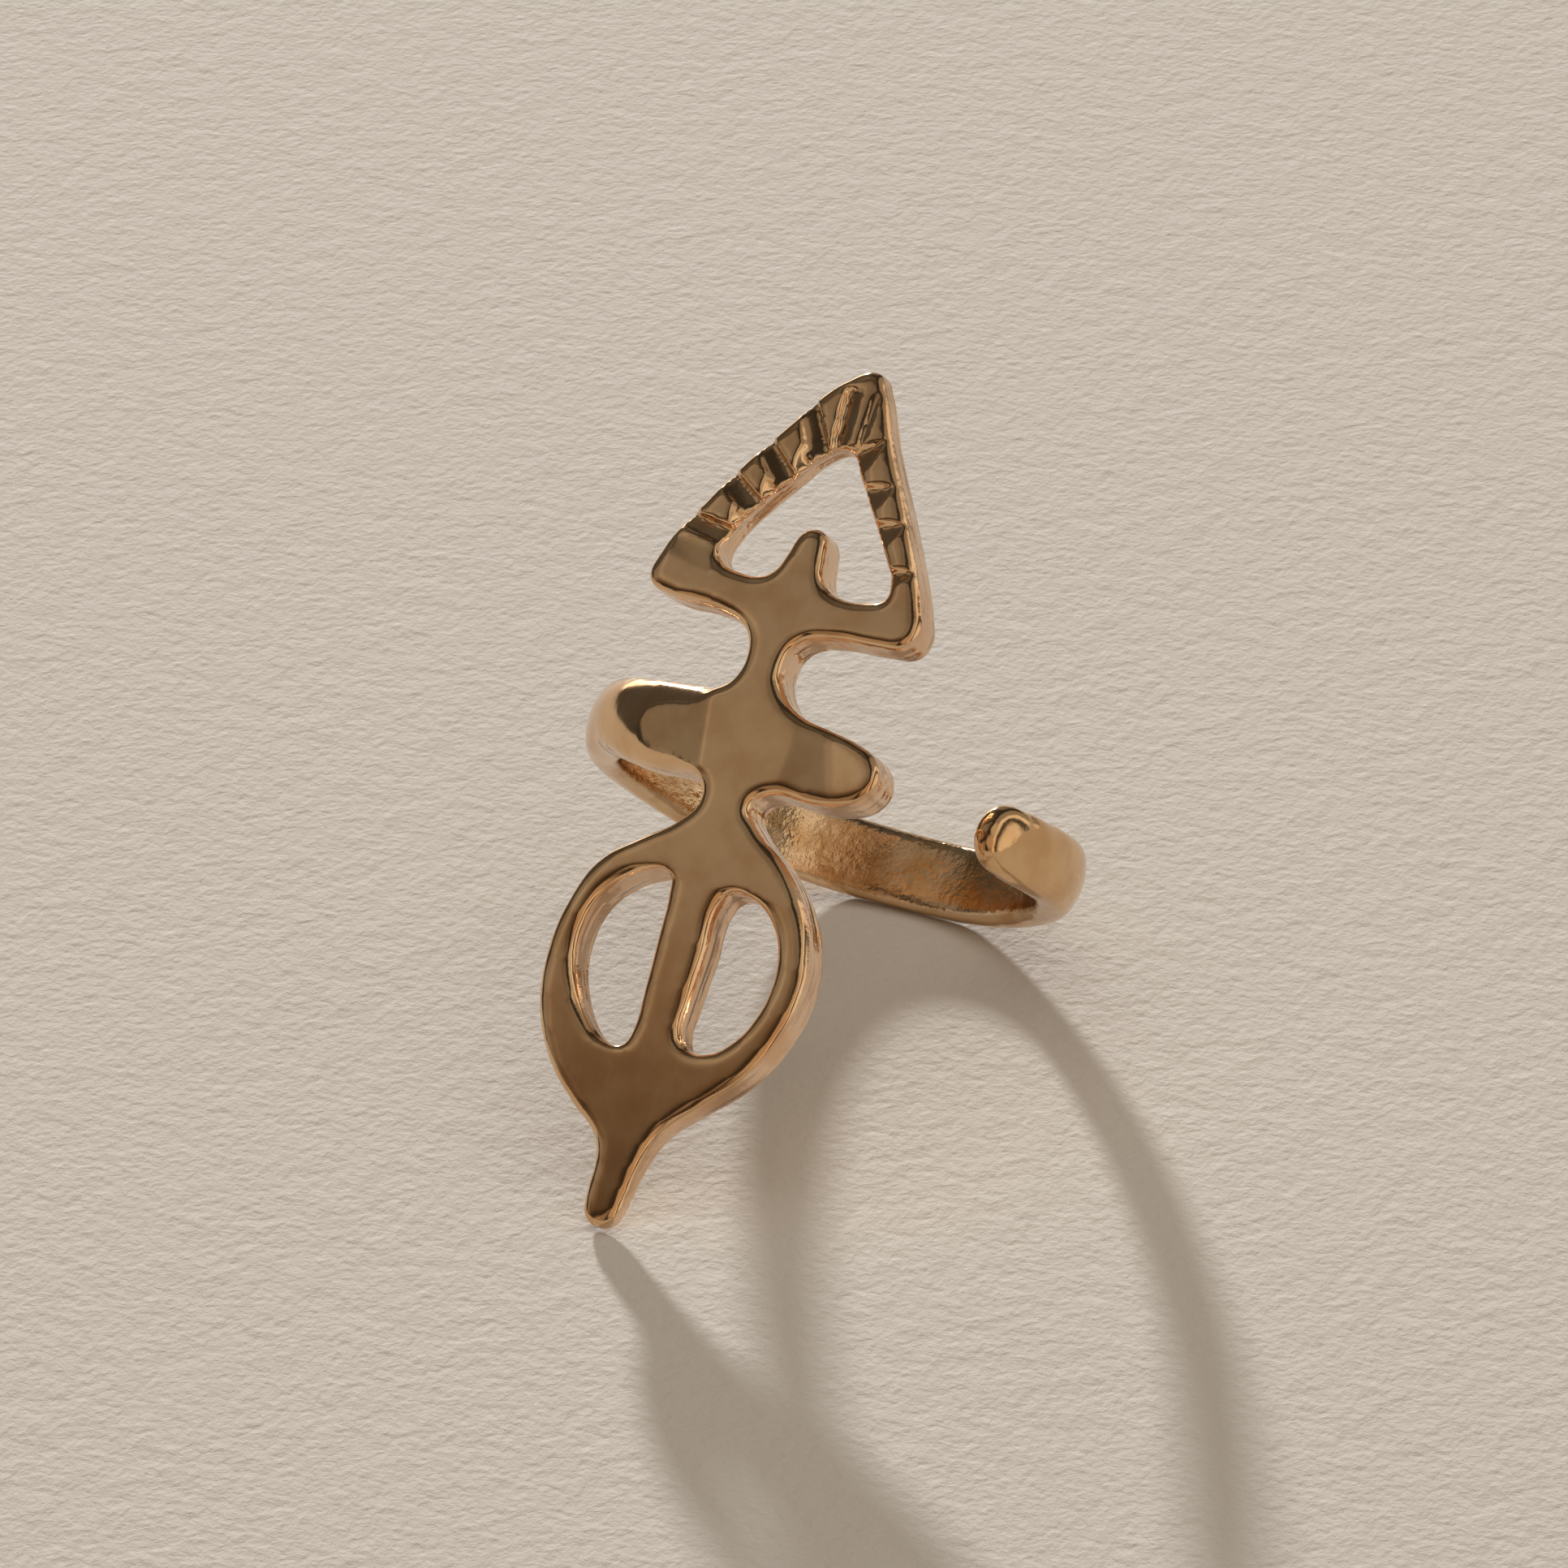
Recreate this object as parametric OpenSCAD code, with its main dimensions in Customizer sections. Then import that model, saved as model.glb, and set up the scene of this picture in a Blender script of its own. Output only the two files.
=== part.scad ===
// Open finger ring cast in one piece: a long pierced figure worn along the finger,
// whose short crossbar runs round the finger as a rounded band with a free end.
// Millimetres. The figure is drawn in its own frame: x to the right along the crossbar,
// y up to the point of the head, z out of the front face, origin at the crossbar's middle.
// The finished ring is then leant back until it rests on the tail and the band.

/* [Finger] */
// Diameter of the finger hole
finger_d = 17.5; // [16.9:0.1:18.1]
// Thickness of the band at its crown
band_t = 1.5; // [1.3:0.1:1.8]
// Width of the band where it leaves the crossbar
band_w = 3.6; // [3.2:0.1:3.8]
// Width of the band near its free end
band_end_w = 2.9; // [2.5:0.1:3.2]
// How far the crown of the band stands above its own edges
band_dome = 0.42; // [0.3:0.02:0.6]
// Angle round the finger, from the front, at which the free end stops
band_end_angle = 298; // [288:1:302]
// How much thinner the band is at its back, where it is worn flat outside
back_wear = 0.36; // [0.3:0.02:0.42]

/* [Figure] */
// Thickness of the figure at the crossbar, thinning along the bow to head and tail
plate_t = 2.05; // [1.9:0.05:2.05]
// Width of the bevel round the front edges
edge = 0.34; // [0.2:0.02:0.4]
// Radius of the gentle bow of the front face from head to tail
bow_r = 140; // [110:5:200]
// How deep the carved notches of the head go
notch_depth = 0.5; // [0.3:0.02:0.6]

/* [Smoothness] */
// Steps drawn between two stations of an outline
steps = 3; // [2:1:4]

/* [Hidden] */

back_edge = 0.14;                 // small bevel round the rear edges
hole_front = 2.1;                 // depth of the finger hole's wall behind the front face
loop_x = -0.5;                    // the loop's centre, left of the crossbar's middle
loop_y = 0.4;                     // the band's middle, above the crossbar's middle
bore_r = finger_d / 2;
outer_r = bore_r + band_t;
loop_z = -(hole_front + bore_r);
tail_end = 19.45;                 // from the crossbar's middle to the tail's tip
worn_half = acos(1 - back_wear / outer_r);    // half the angle that the worn flat spans
root_angle = 20;                  // where the band starts, inside the crossbar's left arm
round_off = 10;                   // how many degrees before its end the band starts to round off
gold = [0.80, 0.61, 0.40];

// Stations of the limbs, each a row: x, y on the outline to the left as one goes along
// the limb, x, y on the outline to the right, then where they differ the bevel's width
// on the left and on the right, its depth, and how far the front sinks.

// head: outer and inner outline, clockwise from the point
HEAD = [
    [-0.15, 16.20, -0.15, 12.75], [0.45, 15.55, 0.20, 12.45], [1.60, 13.45, 0.80, 11.70],
    [3.05, 11.10, 1.90, 10.25], [4.38, 8.85, 2.95, 8.85], [5.22, 7.25, 3.60, 7.75],
    [5.56, 6.10, 3.62, 7.20], [5.10, 5.38, 3.05, 6.95], [3.60, 5.18, 2.20, 6.90],
    [1.40, 5.00, 1.30, 6.90], [-0.40, 4.90, -0.30, 6.90], [-2.20, 5.10, -1.90, 6.92],
    [-3.90, 5.35, -2.80, 6.92], [-5.70, 5.42, -3.60, 7.10], [-6.45, 5.90, -3.98, 7.55],
    [-6.30, 6.90, -3.84, 8.30], [-5.35, 9.15, -3.06, 9.70], [-3.90, 11.75, -2.00, 11.15],
    [-2.30, 14.15, -1.18, 12.20], [-1.00, 15.90, -0.55, 12.65]
];
// oval: outer and inner outline, clockwise from the neck
OVAL = [
    [0.00, -3.00, 0.00, -5.60], [1.55, -2.95, 1.15, -5.65], [3.20, -4.05, 2.35, -5.65],
    [4.62, -5.60, 3.50, -6.50], [5.42, -7.35, 4.10, -7.75], [5.62, -9.00, 4.20, -8.90],
    [5.18, -10.85, 3.90, -10.20], [4.25, -12.60, 3.20, -11.35], [2.85, -14.00, 2.30, -11.90],
    [1.50, -15.30, 1.30, -12.00], [0.10, -16.30, 0.10, -12.20], [-1.45, -15.95, -1.20, -12.60],
    [-2.90, -14.90, -2.20, -12.40], [-4.15, -13.70, -3.10, -11.65], [-5.02, -12.25, -3.80, -10.65],
    [-5.50, -10.75, -4.25, -9.50], [-5.52, -8.90, -4.35, -8.20], [-5.20, -7.10, -3.95, -6.90],
    [-4.50, -5.60, -3.10, -6.00], [-3.10, -4.35, -2.10, -5.55], [-1.55, -3.15, -1.30, -5.50]
];
// short finger standing in the head's opening, and the neck below the head
STUB = [
    [-2.10, 6.10, 1.50, 6.10], [-1.90, 6.75, 1.25, 6.80], [-1.30, 7.30, 0.82, 7.40],
    [-1.05, 8.20, 0.58, 8.25], [-0.88, 8.90, 0.38, 8.95], [-0.55, 9.30, 0.00, 9.33, 0.2, 0.2, 0.34, 0.2]
];
NECK = [
    [-3.00, 1.60, 2.10, 1.70], [-2.05, 2.10, 1.20, 2.25], [-1.45, 2.80, 0.62, 2.85],
    [-1.28, 3.70, 0.42, 3.70], [-1.42, 4.50, 0.60, 4.45], [-2.00, 5.05, 1.10, 5.00],
    [-2.60, 5.75, 1.90, 5.75]
];
// crossbar, its top outline first: the left arm widens its bevels as it turns into
// the band, the right arm ends rounded
BAR = [
    [-6.70, 2.15, -6.70, -1.35, 1.20, 1.45, 0.60, 0], [-5.60, 2.18, -5.60, -1.36, 0.90, 1.35, 0.55, 0],
    [-4.40, 2.08, -4.40, -1.34, 0.60, 1.15, 0.48, 0], [-2.80, 1.90, -2.80, -1.32, 0.36, 0.60, 0.38, 0],
    [-0.40, 1.82, -0.40, -1.35], [1.60, 1.85, 1.70, -1.50], [3.30, 1.60, 3.50, -1.45],
    [4.60, 1.35, 4.80, -1.20], [5.35, 0.92, 5.42, -0.85], [5.72, 0.35, 5.74, -0.30, 0.2, 0.2, 0.5, 0.25]
];
// neck below the crossbar
WAIST = [
    [-2.90, -4.30, 2.80, -4.10], [-1.95, -3.50, 1.85, -3.30], [-1.25, -2.75, 1.15, -2.65],
    [-1.18, -2.10, 1.00, -2.10], [-1.65, -1.45, 1.35, -1.55], [-2.60, -0.80, 2.10, -0.90]
];
// upright bar between the oval's two openings, and the tail
SPINE = [
    [-1.50, -13.20, 1.80, -12.80], [-1.00, -12.20, 1.15, -11.80], [-1.00, -10.40, 1.05, -10.40],
    [-1.12, -8.00, 1.08, -8.20], [-1.28, -5.70, 1.05, -5.95], [-1.70, -4.70, 1.50, -4.70]
];
TAIL = [
    [-0.60, -tail_end, 0.30, -tail_end, 0.2, 0.2, 0.34, 0.2], [-0.88, -19.15, 0.58, -19.10],
    [-1.02, -18.40, 0.75, -18.35], [-1.02, -17.50, 0.90, -17.50], [-1.05, -16.60, 1.02, -16.50],
    [-1.55, -15.85, 1.45, -15.35], [-2.40, -14.90, 2.30, -14.20]
];

// a row with its bevel filled in where the list leaves it out
function full(s) = len(s) > 4 ? s : concat(s, [edge, edge, edge, 0]);

// smooth curve through rows a, b, c, d, at t between b and c
function curve(a, b, c, d, t) = 0.5 * (2 * b + t * (c - a) + t * t * (2 * a - 5 * b + 4 * c - d)
    + t * t * t * (3 * b - a - 3 * c + d));
function ring_rows(p) = let(q = [for (s = p) full(s)], n = len(q))
    [for (i = [0:n - 1], j = [0:steps - 1])
        curve(q[(i + n - 1) % n], q[i], q[(i + 1) % n], q[(i + 2) % n], j / steps)];
function limb_rows(p) = let(q = [for (s = p) full(s)], n = len(q)) concat(
    [for (i = [0:n - 2], j = [0:steps - 1])
        curve(q[max(i - 1, 0)], q[i], q[i + 1], q[min(i + 2, n - 1)], j / steps)], [q[n - 1]]);

// depth of the front face: a bow along y, and for the crossbar the bend of its arms
function bow(y) = y * y / (2 * bow_r);
function bend(x) = x > 2 ? 0.062 * pow(x - 2, 2) :
    x > -1.5 ? 0 :
    (x > -2.1 ? pow(x + 1.5, 2) * 0.225 : 0.27 * (-1.8 - x)) + (x < -4.3 ? 0.3 * pow(x + 4.3, 2) : 0);

// closed cross-section of a limb at one row: front with bevels, rear with small bevels
function section(s, arms, sink) = let(
        a = [s[0], s[1]], b = [s[2], s[3]], across = (b - a) / norm(b - a), most = norm(b - a) * 0.45,
        fa = bow(a.y) + arms * bend(a.x) + sink, fb = bow(b.y) + arms * bend(b.x) + sink,
        ra = plate_t + arms * bend(a.x), rb = plate_t + arms * bend(b.x),
        wa = min(s[4], most), wb = min(s[5], most), k = min(back_edge, most))
    [[a.x, a.y, -fa - s[6]], [a.x + across.x * wa, a.y + across.y * wa, -fa - s[7]],
     [b.x - across.x * wb, b.y - across.y * wb, -fb - s[7]], [b.x, b.y, -fb - s[6]],
     [b.x, b.y, k - rb], [b.x - across.x * k, b.y - across.y * k, -rb],
     [a.x + across.x * k, a.y + across.y * k, -ra], [a.x, a.y, k - ra]];

// solid swept through closed cross-sections, with flat ends or joined into a ring
module sweep(sections, closed) {
    n = len(sections);
    m = len(sections[0]);
    quads = [for (i = [0:n - (closed ? 1 : 2)], j = [0:m - 1])
        let(a = i * m + j, b = i * m + (j + 1) % m, c = ((i + 1) % n) * m)
        each [[a, c + j, b], [b, c + j, c + (j + 1) % m]]];
    ends = closed ? [] : [[for (j = [0:m - 1]) j], [for (j = [m - 1:-1:0]) (n - 1) * m + j]];
    polyhedron([for (s = sections) each s], concat(quads, ends));
}

module limb(rows, arms = 0, sink = 0) {
    sweep([for (s = limb_rows(rows)) section(s, arms, sink)], false);
}

module loop_limb(rows) {
    sweep([for (s = ring_rows(rows)) section(s, 0, 0)], true);
}

// section of the band at an angle round the finger, 0 at the front and 90 at the left
function band_width(a) = let(w = band_w + (band_end_w - band_w) * (a - 30) / (band_end_angle - 30),
        left = (band_end_angle - a) * PI / 180 * outer_r)
    left < w / 2 ? max(0.5, 2 * sqrt(max(0, pow(w / 2, 2) - pow(w / 2 - left, 2)))) : w;
// the band's crown: a circle, but straight where it is worn at the back
function crown(a) = abs(a - 180) < worn_half ? (outer_r - back_wear) / cos(a - 180) : outer_r;
// skew is how many degrees the section runs further round for each millimetre outwards
function band_section(a, skew = 0) = let(w = band_width(a) / 2,
        dome = band_dome * pow(w / (band_w / 2), 0.8), wall = bore_r - 0.4, top = crown(a))
    [for (p = [[-0.86, wall], [-1, wall + 0.2], [-1, top - band_dome - 0.1],
               [-0.9, top - dome * 0.78], [-0.5, top - dome * 0.22], [0, top],
               [0.5, top - dome * 0.22], [0.9, top - dome * 0.78],
               [1, top - band_dome - 0.1], [1, wall + 0.2], [0.86, wall]])
        let(turn = a + skew * (p.y - bore_r))
            [loop_x - p.y * sin(turn), loop_y + p.x * w, loop_z + p.y * cos(turn)]];

// evenly spread angles from one to another, without the first
function spread(from, to, n) = [for (k = [1:n]) from + (to - from) * k / n];

// sections stand about 6.5 degrees apart, closer at the rounded end, and both end faces
// lean a little, so that neither lies in one plane with the axis of the finger hole
module band() {
    skew = 2;
    spacing = 6.5;
    end_steps = 6;
    worn_from = 180 - worn_half;
    worn_to = 180 + worn_half;
    straight_to = band_end_angle - round_off;
    angles = concat(
        spread(root_angle, worn_from, round((worn_from - root_angle) / spacing)),
        spread(worn_from, worn_to, 4),
        spread(worn_to, straight_to, round((straight_to - worn_to) / spacing)),
        [for (k = [1:end_steps - 1]) straight_to + round_off * sin(90 * k / end_steps)]);
    sweep(concat([band_section(root_angle, skew)], [for (a = angles) band_section(a)],
        [band_section(band_end_angle, skew)]), false);
}

// carved notch: a groove from the opening's rim at one end, where it is wide and deep,
// to the outer rim, with its deepest line nearer to one side
module notch(inner, outer, wide, narrow, deep, side = 0.3) {
    along = (outer - inner) / norm(outer - inner);
    across = [-along.y, along.x];
    ends = [[inner - along * 0.5, wide, deep], [outer + along * 0.3, narrow, deep * 0.55]];
    sweep([for (e = ends)
        [for (q = [[-0.5, 0.5], [-0.5, 0.01], [side - 0.5, -e[2]], [0.5, 0.01], [0.5, 0.5]])
            let(c = e[0] + across * q.x * e[1]) [c.x, c.y, q.y - bow(e[0].y)]]], false);
}

module notches() {
    // left leg, from the foot up to the point
    notch([-3.65, 7.95], [-5.65, 8.35], 0.80, 0.45, notch_depth, 0.35);
    notch([-3.10, 9.25], [-4.60, 10.45], 0.95, 0.60, notch_depth, 0.35);
    notch([-2.20, 10.85], [-3.45, 12.15], 0.85, 0.60, notch_depth, 0.35);
    notch([-1.30, 12.25], [-2.25, 14.05], 0.80, 0.60, notch_depth, 0.35);
    // right leg, from the foot up to the point
    notch([3.70, 8.05], [5.15, 8.70], 0.90, 0.30, notch_depth, 0.75);
    notch([2.75, 9.60], [3.95, 10.45], 1.20, 0.30, notch_depth, 0.75);
    notch([1.75, 10.90], [2.95, 11.95], 1.40, 0.30, notch_depth, 0.75);
    notch([0.75, 12.25], [1.80, 13.70], 1.40, 0.30, notch_depth, 0.75);
    // cuts that fan out to the point
    notch([-0.55, 12.60], [-1.20, 15.30], 0.40, 0.70, notch_depth * 0.8, 0.4);
    notch([-0.15, 12.65], [-0.15, 15.90], 0.35, 0.70, notch_depth * 0.8, 0.4);
    notch([0.15, 12.60], [0.85, 14.90], 0.35, 0.60, notch_depth * 0.8, 0.6);
}

// the whole casting in the figure's frame, before the finger hole is bored
module casting() {
    union() {
        difference() {
            loop_limb(HEAD);
            notches();
        }
        limb(STUB, 0, 0.02);
        limb(NECK, 0, 0.02);
        limb(BAR, 1, 0);
        limb(WAIST, 0, 0.02);
        loop_limb(OVAL);
        limb(SPINE, 0, 0.02);
        limb(TAIL, 0, 0.02);
        band();
    }
}

// cut longer than the band is wide, and short enough to miss the head and the oval
module finger_hole() {
    cut_length = 8;
    translate([loop_x, loop_y, loop_z])
        rotate([90, 0, 0])
            cylinder(r = bore_r, h = cut_length, center = true, $fn = 120);
}

// rest: the ring leans back until the tail's rear corner and the band's worn lower edge
// are level. Pairs are y and depth behind the front face.
band_half = band_width(180 - worn_half) / 2;
tail_low = [-tail_end, plate_t];
band_low = [loop_y - 0.9 * band_half, -loop_z + outer_r - back_wear - 0.71 * band_dome];
lean = atan2(band_low.y - tail_low.y, band_low.x - tail_low.x);
function leant(p) = [p.x * cos(lean) + p.y * sin(lean), p.x * sin(lean) - p.y * cos(lean)];
floor_z = leant(band_low).y;
front_y = leant([-tail_end, bow(tail_end) + 0.2]).x;
back_y = leant([loop_y + 0.93 * band_half, -loop_z + outer_r - back_wear - 0.6 * band_dome]).x;

module ring() {
    color(gold) translate([-loop_x, -(front_y + back_y) / 2, -floor_z]) rotate([lean, 0, 0])
        difference() {
            casting();
            finger_hole();
        }
}

ring();
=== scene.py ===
# %% [markdown]
# # An open finger ring, cast in gold-coloured bronze
#
# The ring is one polished casting: a long pierced figure that lies along the finger, and a
# band that leaves the figure's left arm, runs round the finger and stops short on the right.
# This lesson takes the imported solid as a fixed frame, makes one finer piece in its place,
# finishes it as cast and polished metal, and sets it on a pale floor under soft light.

# %% Load the fixed frame
import math

import bmesh
import bpy
from mathutils import Matrix, Vector


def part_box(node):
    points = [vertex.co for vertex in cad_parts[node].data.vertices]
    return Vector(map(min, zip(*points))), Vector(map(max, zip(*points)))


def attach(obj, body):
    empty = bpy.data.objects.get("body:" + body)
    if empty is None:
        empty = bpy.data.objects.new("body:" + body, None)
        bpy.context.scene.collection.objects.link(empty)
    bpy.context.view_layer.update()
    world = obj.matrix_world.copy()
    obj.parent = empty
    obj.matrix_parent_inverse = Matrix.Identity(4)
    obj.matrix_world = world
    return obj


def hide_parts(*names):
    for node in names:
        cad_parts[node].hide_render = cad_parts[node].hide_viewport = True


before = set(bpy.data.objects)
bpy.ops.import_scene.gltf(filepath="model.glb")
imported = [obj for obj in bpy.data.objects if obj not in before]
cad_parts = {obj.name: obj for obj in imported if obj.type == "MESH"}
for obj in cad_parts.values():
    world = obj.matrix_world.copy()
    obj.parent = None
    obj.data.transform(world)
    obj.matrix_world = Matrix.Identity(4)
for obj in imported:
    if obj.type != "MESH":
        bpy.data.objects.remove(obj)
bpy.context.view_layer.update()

# %% [markdown]
# ## Where the figure is drawn
#
# A maker draws such a figure flat, in millimetres, with the crossbar's middle as origin:
# u to the right, v up to the point of the head, n out of the front face. The finished ring
# leans back on its tail and band, so one matrix carries the drawing to its place in the
# frame. Everything below is shaped in the drawing and placed once, at the end.

# %% The drawing's place in the frame
MM = 0.001
LEAN = math.radians(45.0053)
SHIFT = (0.5, -1.59205, 15.2039)
TURN = Matrix.Rotation(LEAN, 4, "X")
PLACE = Matrix.Scale(MM, 4) @ Matrix.Translation(SHIFT) @ TURN

low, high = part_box("ring")
print("packed ring spans", [round(1000 * x, 2) for x in (*low, *high)], "mm")

# %% [markdown]
# ## The figure's outline
#
# The figure is one plate with three openings, so a smooth closed curve for the rim and one
# for each opening say all of its shape. The knots are chosen at the turns of the outline,
# and automatic handles draw the sweeping lines between them. Polygons would need many more
# points for the same smooth line.

# %% Knots of the rim
RIM = [
    (-0.10, 16.20), (-1.00, 15.85), (-3.30, 12.75), (-5.20, 9.50), (-6.40, 6.80),
    (-6.45, 5.80), (-5.60, 5.38), (-3.00, 5.22), (-1.75, 4.75), (-1.28, 3.65),
    (-1.55, 2.60), (-2.40, 1.95), (-3.00, 1.20), (-3.00, -0.60), (-2.35, -1.20),
    (-1.45, -1.60), (-1.17, -2.35), (-1.75, -3.30), (-3.10, -4.35), (-4.55, -5.60),
    (-5.35, -7.60), (-5.55, -9.80), (-5.20, -11.80), (-4.15, -13.70), (-2.60, -15.15),
    (-1.45, -16.00), (-1.05, -16.85), (-1.02, -18.20), (-0.90, -19.10), (-0.55, -19.44),
    (0.25, -19.44), (0.60, -19.05), (0.78, -18.20), (1.00, -16.80), (1.50, -15.45),
    (2.85, -14.05), (4.25, -12.60), (5.18, -10.85), (5.60, -9.00), (5.40, -7.30),
    (4.62, -5.60), (3.20, -4.05), (1.65, -2.95), (1.05, -2.15), (1.60, -1.52),
    (3.40, -1.47), (4.75, -1.24), (5.56, -0.78), (5.90, 0.05), (5.52, 0.86),
    (4.60, 1.33), (3.30, 1.60), (1.60, 1.95), (0.70, 2.70), (0.42, 3.60),
    (0.75, 4.60), (2.20, 5.10), (4.00, 5.20), (5.15, 5.42), (5.54, 6.15),
    (5.20, 7.25), (4.38, 8.85), (3.05, 11.10), (1.60, 13.45), (0.55, 15.45),
]
print("rim has", len(RIM), "knots")

# %% Knots of the three openings
HEAD_OPENING = [
    (-0.15, 12.75), (0.80, 11.70), (1.90, 10.25), (2.95, 8.85), (3.58, 7.80),
    (3.60, 7.20), (3.05, 6.95), (1.45, 6.90), (0.87, 7.30), (0.60, 8.20),
    (0.40, 8.95), (0.00, 9.32), (-0.55, 9.28), (-0.88, 8.90), (-1.08, 8.10),
    (-1.42, 7.25), (-2.00, 6.93), (-2.80, 6.92), (-3.60, 7.10), (-3.96, 7.55),
    (-3.80, 8.35), (-3.06, 9.70), (-2.00, 11.15), (-1.10, 12.30),
]
LEFT_OPENING = [
    (-1.45, -5.45), (-2.30, -5.60), (-3.15, -6.10), (-3.95, -7.00), (-4.32, -8.30),
    (-4.22, -9.50), (-3.75, -10.70), (-3.05, -11.70), (-2.15, -12.38), (-1.30, -12.45),
    (-1.02, -11.90), (-1.02, -10.20), (-1.12, -8.00), (-1.25, -6.10),
]
RIGHT_OPENING = [
    (1.45, -5.62), (2.35, -5.68), (3.45, -6.45), (4.08, -7.70), (4.18, -8.90),
    (3.88, -10.20), (3.18, -11.33), (2.35, -11.92), (1.50, -11.95), (1.12, -11.50),
    (1.05, -10.30), (1.08, -8.20), (1.08, -6.15),
]
OPENINGS = [HEAD_OPENING, LEFT_OPENING, RIGHT_OPENING]
print("openings have", [len(knots) for knots in OPENINGS], "knots")

# %% Fill the curves to a flat sheet
LINE_STEPS = 5
SAME_POINT = 1e-4


def drawn_sheet(lines, name):
    """A flat filled sheet, bounded by closed smooth lines through the knots."""
    curve = bpy.data.curves.new(name, "CURVE")
    curve.dimensions = "2D"
    curve.fill_mode = "BOTH"
    curve.resolution_u = LINE_STEPS
    for knots in lines:
        line = curve.splines.new("BEZIER")
        line.bezier_points.add(len(knots) - 1)
        line.use_cyclic_u = True
        for knot, (u, v) in zip(line.bezier_points, knots):
            knot.co = (u, v, 0)
            knot.handle_left_type = knot.handle_right_type = "AUTO"
    drawing = bpy.data.objects.new(name, curve)
    bpy.context.scene.collection.objects.link(drawing)
    seen = drawing.evaluated_get(bpy.context.evaluated_depsgraph_get())
    bm = bmesh.new()
    bm.from_mesh(bpy.data.meshes.new_from_object(seen))
    bpy.data.objects.remove(drawing)
    bmesh.ops.remove_doubles(bm, verts=bm.verts, dist=SAME_POINT)
    return bm


plate = drawn_sheet([RIM, *OPENINGS], "figure_outline")
area = sum(face.calc_area() for face in plate.faces)
print("sheet:", len(plate.faces), "faces,", round(area, 1), "mm2")

# %% [markdown]
# ## From sheet to plate
#
# The sheet is extruded to the plate's thickness. Polishing has rounded the front edges, so
# the front face is inset a few times along a quarter circle. Insetting keeps the plate's
# faces whole even where the tail is narrow, where an edge bevel would run out of room.
# Whether a mesh is closed is measured now and after each later step.

# %% Extrude the plate and round its front edges
THICK = 2.05
EDGE = 0.36
ROUND_STEPS = 4


def open_edges(bm):
    """How many edges don't join exactly two faces: 0 for a closed solid."""
    return sum(not e.is_manifold for e in bm.edges)


lifted = bmesh.ops.extrude_face_region(plate, geom=plate.faces[:])["geom"]
lifted = [g for g in lifted if isinstance(g, bmesh.types.BMVert)]
bmesh.ops.translate(plate, verts=lifted, vec=(0, 0, THICK - EDGE))
bmesh.ops.translate(plate, verts=plate.verts, vec=(0, 0, -THICK))
bmesh.ops.recalc_face_normals(plate, faces=plate.faces)
# the faces that look straight out of the front
front = [f for f in plate.faces if f.normal.z > 0.9]
for step in range(ROUND_STEPS):
    start, stop = (math.pi / 2 * (step + k) / ROUND_STEPS for k in (0, 1))
    bmesh.ops.inset_region(
        plate,
        faces=front,
        thickness=EDGE * (math.cos(start) - math.cos(stop)),
        depth=EDGE * (math.sin(stop) - math.sin(start)),
        use_even_offset=False,
        use_boundary=True,
    )
print("plate:", len(plate.faces), "faces,", open_edges(plate), "open edges")

# %% [markdown]
# ## The bow and the arms
#
# Along the finger the front is gently bowed while the back stays flat, so the plate thins to
# head and tail. The left arm turns back from a crisp line to meet the band. The right arm
# sinks a little from another line and rises again near its end, which shows as three plain
# tones in the polish. A sheet only bends where it has edges, so it is sliced along those
# lines first, and then its vertices sink. A Simple Deform modifier would bend it all alike.

# %% How the arms bend
# each fold is a line at that u, and leans by its LEAN for each mm of v
BOW_RADIUS = 140
LEFT_FOLD, LEFT_SLOPE, LEFT_LEAN = -1.84, 0.27, 0.176
RIGHT_FOLD, RIGHT_SLOPE = 1.9, 0.085
RISE_FOLD, RISE_SLOPE, RISE_LEAN = 3.7, 0.13, 0.35
BELOW_ARMS, ABOVE_ARMS = (-3.0, -2.0), (2.4, 3.4)


def bend(u, v):
    """How far the arms turn back: the left from a leaning line, the right from a plain one."""
    left = max(0, LEFT_FOLD - u - LEFT_LEAN * v)
    right = max(0, u - RIGHT_FOLD)
    rise = max(0, u - RISE_FOLD + RISE_LEAN * v)
    return LEFT_SLOPE * left + RIGHT_SLOPE * right - RISE_SLOPE * rise


def ease(x, start, stop):
    """0 at start, 1 at stop, smooth between."""
    t = min(1, max(0, (x - start) / (stop - start)))
    return t * t * (3 - 2 * t)


def on_arms(v):
    """1 on the crossbar, fading to 0 above and below it."""
    return ease(v, *BELOW_ARMS) * (1 - ease(v, *ABOVE_ARMS))


print("left arm's end sinks", round(bend(-5, 0), 2), "mm")

# %% Slice the plate and bend it
ON_LINE = 1e-5

# one slice across the finger at each millimetre, and one along each fold
slices = [(Vector((0, v, 0)), (0, 1, 0)) for v in range(-19, 17)]
slices += [
    (Vector((LEFT_FOLD, 0, 0)), (1, LEFT_LEAN, 0)),
    (Vector((RIGHT_FOLD, 0, 0)), (1, 0, 0)),
    (Vector((RISE_FOLD, 0, 0)), (1, RISE_LEAN, 0)),
]
for place, across in slices:
    bmesh.ops.bisect_plane(
        plate,
        geom=plate.verts[:] + plate.edges[:] + plate.faces[:],
        dist=ON_LINE,
        plane_co=place,
        plane_no=across,
    )
for vert in plate.verts:
    u, v, n = vert.co
    vert.co.z -= on_arms(v) * bend(u, v)
    if n > -THICK / 2:
        vert.co.z -= v * v / (2 * BOW_RADIUS)
print("bowed plate:", len(plate.faces), "faces,", open_edges(plate), "open edges")

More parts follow.
